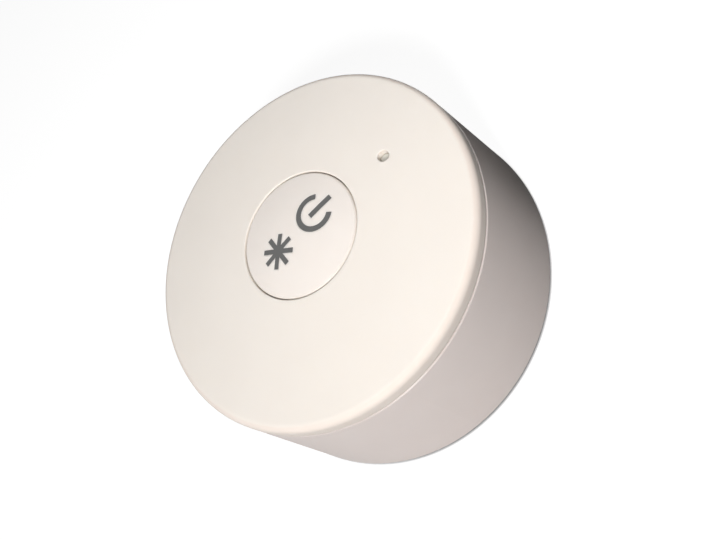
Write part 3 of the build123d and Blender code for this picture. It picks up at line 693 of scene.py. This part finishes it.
rubber_tree, rubber_shader = new_finish(
    "foot_rubber", (0.24, 0.225, 0.218), worn=(0.31, 0.295, 0.285), dusty=(0.37, 0.335, 0.305),
    rough=0.72, drift_by=0.08, patch=0.006, grain_size=0.0003, grain_depth=0.00001,
    reach=0.00025, rough_patch=0.1,
)
rubber_shader.inputs["Sheen Weight"].default_value = rubber_sheen
lint_inputs = {"Vector": steps_along(rubber_tree, lint_step), "Scale": 1.0, "Randomness": 1.0}
lint_cells = place(rubber_tree, "ShaderNodeTexVoronoi", lint_inputs).outputs["Distance"]
lint_dots = remap(rubber_tree, lint_cells, low=0.12, high=0.08, new_high=lint_cover)
paint(rubber_tree, rubber_shader, lint_dots, lint_tone)

# %% [markdown]
# ## Steel parts
# One steel could do for all, but each of these is made another way. The screws are zinc-plated and
# a little bluish. The switch's frame and dome, its terminals and the crystal's can are tinned
# sheet with drawn lines. The coin cell is nickel-plated, and its pressed can and cap show fine
# rings.

# %% Steels
sheet_lines = (900.0, 14000.0, 14000.0)
sheet_line_depth = 0.0000015
cell_ring_pitch = 0.00022
cell_ring_depth = 0.0000018

new_finish(
    "screw_steel", (0.6, 0.605, 0.63), worn=(0.78, 0.78, 0.79), dusty=(0.3, 0.28, 0.25),
    rough=0.3, drift_by=0.08, patch=0.0012, grain_size=0.00009, grain_depth=0.000002,
    reach=0.0001, metal=1.0, rough_patch=0.18, scratch_length=0.002,
)
sheet_tree, sheet_shader = new_finish(
    "sheet_steel", (0.66, 0.655, 0.64), worn=(0.82, 0.81, 0.8), dusty=(0.33, 0.31, 0.28),
    rough=0.28, drift_by=0.07, patch=0.0015, grain_size=0.00008, grain_depth=0.000001,
    reach=0.0001, metal=1.0, rough_patch=0.15, scratch_length=0.002,
)
sheet_height = effect(sheet_tree, drawn, Stretch=sheet_lines)["Height"]
add_relief(sheet_tree, sheet_shader, sheet_height, sheet_line_depth)
cell_tree, cell_shader = new_finish(
    "cell_steel", (0.7, 0.69, 0.665), worn=(0.84, 0.83, 0.81), dusty=(0.4, 0.37, 0.33),
    rough=0.22, drift_by=0.05, patch=0.004, grain_size=0.00012, grain_depth=0.0000008,
    reach=0.0002, metal=1.0, rough_patch=0.12, scratch_length=0.008,
)
cell_height = effect(cell_tree, rings, Pitch=cell_ring_pitch)["Height"]
add_relief(cell_tree, cell_shader, cell_height, cell_ring_depth)

# %% [markdown]
# ## Inside plastics
# The chips and the switch are black moulding compound. The cell's holder is a dark grey moulding
# with short glass fibres, which show as pale flecks. The scratches' lines already have that shape,
# so the flecks are the same effect, made very short and pale.

# %% Inside plastics
fibre_length = 0.0008
fibre_cover = 0.35
fibre_tone = (0.2, 0.2, 0.2)

new_finish(
    "black_plastic", (0.022, 0.022, 0.023), worn=(0.09, 0.09, 0.09), dusty=(0.12, 0.11, 0.1),
    rough=0.5, drift_by=0.12, patch=0.002, grain_size=0.00009, grain_depth=0.0000025,
    reach=0.00008, rough_patch=0.12,
)
holder_tree, holder_shader = new_finish(
    "holder_plastic", (0.055, 0.055, 0.057), worn=(0.12, 0.12, 0.12), dusty=(0.16, 0.15, 0.13),
    rough=0.48, drift_by=0.1, patch=0.005, grain_size=0.0002, grain_depth=0.000005,
    reach=0.0002, rough_patch=0.1,
)
fibre_lines = effect(holder_tree, scratch, Length=fibre_length)["Lines"]
fibre_share = maths(holder_tree, "MULTIPLY", fibre_lines, fibre_cover)
paint(holder_tree, holder_shader, fibre_share, fibre_tone)

# %% [markdown]
# ## The contacts
# Both contacts are spring strip in nickel brass. Such strip is rolled one way like the sheet
# steel, so the drawn lines suit it too.

# %% Brass
strip_lines = (900.0, 14000.0, 900.0)
strip_line_depth = 0.0000015

brass_tree, brass_shader = new_finish(
    "contact_brass", (0.74, 0.62, 0.36), worn=(0.86, 0.76, 0.5), dusty=(0.4, 0.31, 0.17),
    rough=0.26, drift_by=0.08, patch=0.003, grain_size=0.0001, grain_depth=0.000001,
    reach=0.0001, metal=1.0, rough_patch=0.16, scratch_length=0.003,
)
brass_height = effect(brass_tree, drawn, Stretch=strip_lines)["Height"]
add_relief(brass_tree, brass_shader, brass_height, strip_line_depth)

# %% [markdown]
# ## The circuit board
# A green mask covers a woven glass board. The weave could be modelled thread by thread, but fine
# sine waves both ways give the same small squares.

# %% Board
weave_scale = 700.0
weave_depth = 0.000004


def waves(tree, where, scale, direction):
    """Even sine waves along this axis, from 0 to 1."""
    inputs = {"Vector": where, "Scale": scale}
    return place(tree, "ShaderNodeTexWave", inputs, bands_direction=direction).outputs["Fac"]


board_tree, board_shader = new_finish(
    "board_laminate", (0.016, 0.12, 0.045), worn=(0.3, 0.29, 0.16), dusty=(0.12, 0.15, 0.1),
    rough=0.3, drift_by=0.1, patch=0.005, grain_size=0.00015, grain_depth=0.000001,
    reach=0.00015, rough_patch=0.1,
)
board_place = here_on(board_tree)
weave_x = waves(board_tree, board_place, weave_scale, "X")
weave_y = waves(board_tree, board_place, weave_scale, "Y")
weave_height = maths(board_tree, "MULTIPLY", weave_x, weave_y)
add_relief(board_tree, board_shader, weave_height, weave_depth)

# %% [markdown]
# ### Copper tracks
# Copper tracks stand up a little under the green mask and look lighter. They could be drawn one by
# one, but only their character matters inside a closed case. A grid of square cells picks a
# direction at random for each cell, and wider waves in that direction give the tracks.

# %% Tracks
track_cell = 0.0042
track_scale = 190.0
track_cover = 0.7
track_depth = 0.00002
track_tone = (0.045, 0.24, 0.085)

grid_inputs = {"Vector": steps_along(board_tree, track_cell), "Scale": 1.0, "Randomness": 0.0}
grid_cells = place(board_tree, "ShaderNodeTexVoronoi", grid_inputs, distance="CHEBYCHEV").outputs
grid_pick = place(board_tree, "ShaderNodeSeparateColor", {0: grid_cells["Color"]}).outputs["Red"]
across = maths(board_tree, "GREATER_THAN", grid_pick, 0.5)
track_x = waves(board_tree, board_place, track_scale, "X")
track_y = waves(board_tree, board_place, track_scale, "Y")
track_change = maths(board_tree, "SUBTRACT", track_y, track_x)
track_wave = maths(board_tree, "MULTIPLY_ADD", across, track_change, track_x)
tracks = remap(board_tree, track_wave, low=0.55, high=0.65)
paint(board_tree, board_shader, maths(board_tree, "MULTIPLY", tracks, track_cover), track_tone)
add_relief(board_tree, board_shader, tracks, track_depth)
print("board finish now has", len(board_tree.nodes), "nodes")

# %% [markdown]
# ## The indicator and the large capacitor
# The indicator is pale resin on a white base. The large capacitor is ochre resin with a darker
# band at its positive end. Each could be cut in two pieces, but its colour changes at one place
# along an axis, so the place on the piece makes the mask. The change takes a few hundredths of a
# millimetre.

# %% Resins
base_top = 0.0132
base_tone = (0.82, 0.82, 0.8)
band_start = 0.0067
band_tone = (0.25, 0.13, 0.03)
tone_blur = 0.00002


def below(tree, axis, limit):
    """1 where the piece lies below this limit along the axis, 0 above it."""
    here = place(tree, "ShaderNodeSeparateXYZ", {0: here_on(tree)}).outputs[axis]
    return remap(tree, here, low=limit + tone_blur, high=limit - tone_blur)


led_tree, led_shader = new_finish(
    "led_resin", (0.88, 0.86, 0.7), worn=(0.93, 0.92, 0.8), dusty=(0.6, 0.56, 0.42),
    rough=0.2, drift_by=0.03, patch=0.0008, grain_size=0.00006, grain_depth=0.000001,
    reach=0.00006,
)
paint(led_tree, led_shader, below(led_tree, "Z", base_top), base_tone)
ochre_tree, ochre_shader = new_finish(
    "capacitor_resin", (0.58, 0.33, 0.05), worn=(0.72, 0.47, 0.13), dusty=(0.33, 0.2, 0.06),
    rough=0.42, drift_by=0.07, patch=0.0015, grain_size=0.00009, grain_depth=0.000002,
    reach=0.0001,
)
paint(ochre_tree, ochre_shader, below(ochre_tree, "X", band_start), band_tone)

# %% [markdown]
# ## The small ceramics and the cell's filling
# The aerial is white ceramic and the small capacitors are tan ceramic. The cell's filling is a
# black pressed powder, which is dull and uneven. None of them needs more than the values of its
# finish.

# %% Ceramics
new_finish(
    "antenna_ceramic", (0.8, 0.795, 0.77), worn=(0.87, 0.87, 0.85), dusty=(0.55, 0.52, 0.46),
    rough=0.35, drift_by=0.02, patch=0.0015, grain_size=0.00007, grain_depth=0.0000015,
    reach=0.00008,
)
new_finish(
    "capacitor_ceramic", (0.43, 0.3, 0.18), worn=(0.55, 0.42, 0.28), dusty=(0.26, 0.2, 0.14),
    rough=0.4, drift_by=0.09, patch=0.0009, grain_size=0.00007, grain_depth=0.000002,
    reach=0.00007,
)
new_finish(
    "cell_pellet", (0.09, 0.088, 0.085), worn=(0.14, 0.14, 0.13), dusty=(0.05, 0.05, 0.05),
    rough=0.85, drift_by=0.2, patch=0.002, grain_size=0.00015, grain_depth=0.00001,
    reach=0.0001,
)

# %% [markdown]
# ## Each node takes its finish
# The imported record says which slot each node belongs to, and every slot has a finish of the same
# name. The nodes' own material slots are filled, and no mesh is touched.

# %% Give the nodes their finishes
for name, node in nodes.items():
    node.data.materials.clear()
    node.data.materials.append(finishes[slot_of[name]])
print("finished", len(nodes), "nodes")
